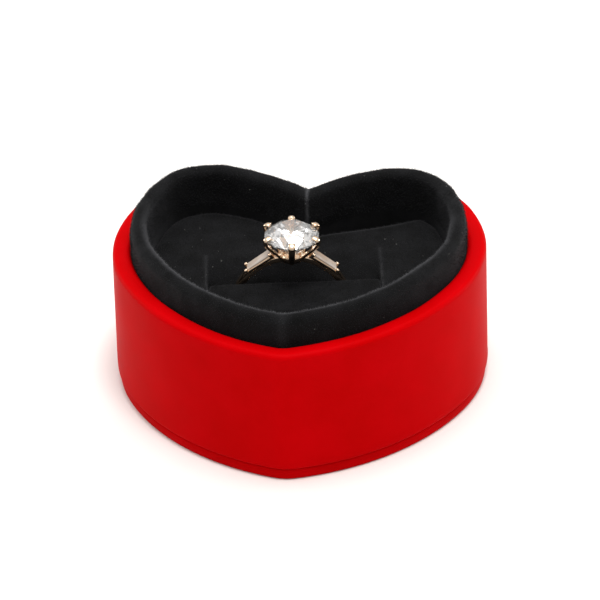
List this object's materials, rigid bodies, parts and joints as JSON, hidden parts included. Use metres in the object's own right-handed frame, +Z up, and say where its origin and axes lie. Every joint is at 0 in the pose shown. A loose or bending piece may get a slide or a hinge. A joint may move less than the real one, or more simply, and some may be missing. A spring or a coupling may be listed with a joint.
{
  "type": "heart shaped ring presentation box",
  "caption": "Heart-shaped ring box base: red covered wall, raised velvet collar, lift-out slotted pad, and a claw-set solitaire ring.",
  "frame": {"origin": "middle of the underside", "axes": "+Z up, +X to the right across the lobes, the heart's tip along -Y"},
  "size_m": [0.06, 0.0538, 0.0302],
  "materials": {
    "red_covering": "satin soft-touch",
    "greyboard": "raw",
    "black_velvet": "short pile",
    "pad_foam": "foam",
    "rose_gold": "polished",
    "clear_stone": "polished facets"
  },
  "bodies": {
    "box": {"bottom_board": "greyboard", "bottom_covering": "red_covering", "wall_board": "greyboard", "wall_covering": "red_covering", "collar_board": "greyboard", "collar_velvet": "black_velvet"},
    "pad": {"pad_card": "greyboard", "pad_foam": "pad_foam", "pad_velvet": "black_velvet"},
    "flap": {"flap_card": "greyboard", "flap_velvet": "black_velvet"},
    "ring": {"ring_band": "rose_gold", "ring_head": "rose_gold", "centre_stone": "clear_stone", "left_baguette": "clear_stone", "right_baguette": "clear_stone", "left_setting": "rose_gold", "right_setting": "rose_gold"}
  },
  "joints": [
    {"name": "pad_lift", "type": "slide", "parent": "box", "child": "pad", "axis": [0, 0, 1], "range_m": [0, 0.028]},
    {"name": "flap_give", "type": "hinge", "parent": "pad", "child": "flap", "pos_m": [0.00088, -0.00903, 0.0194], "axis": [-0.9925, -0.1219, 0], "range_deg": [0, 10], "stiffness_Nm_per_rad": 0.02, "springref_deg": -1.72},
    {"name": "ring_lift", "type": "slide", "parent": "pad", "child": "ring", "axis": [0, 0, 1], "range_m": [0, 0.024]}
  ]
}
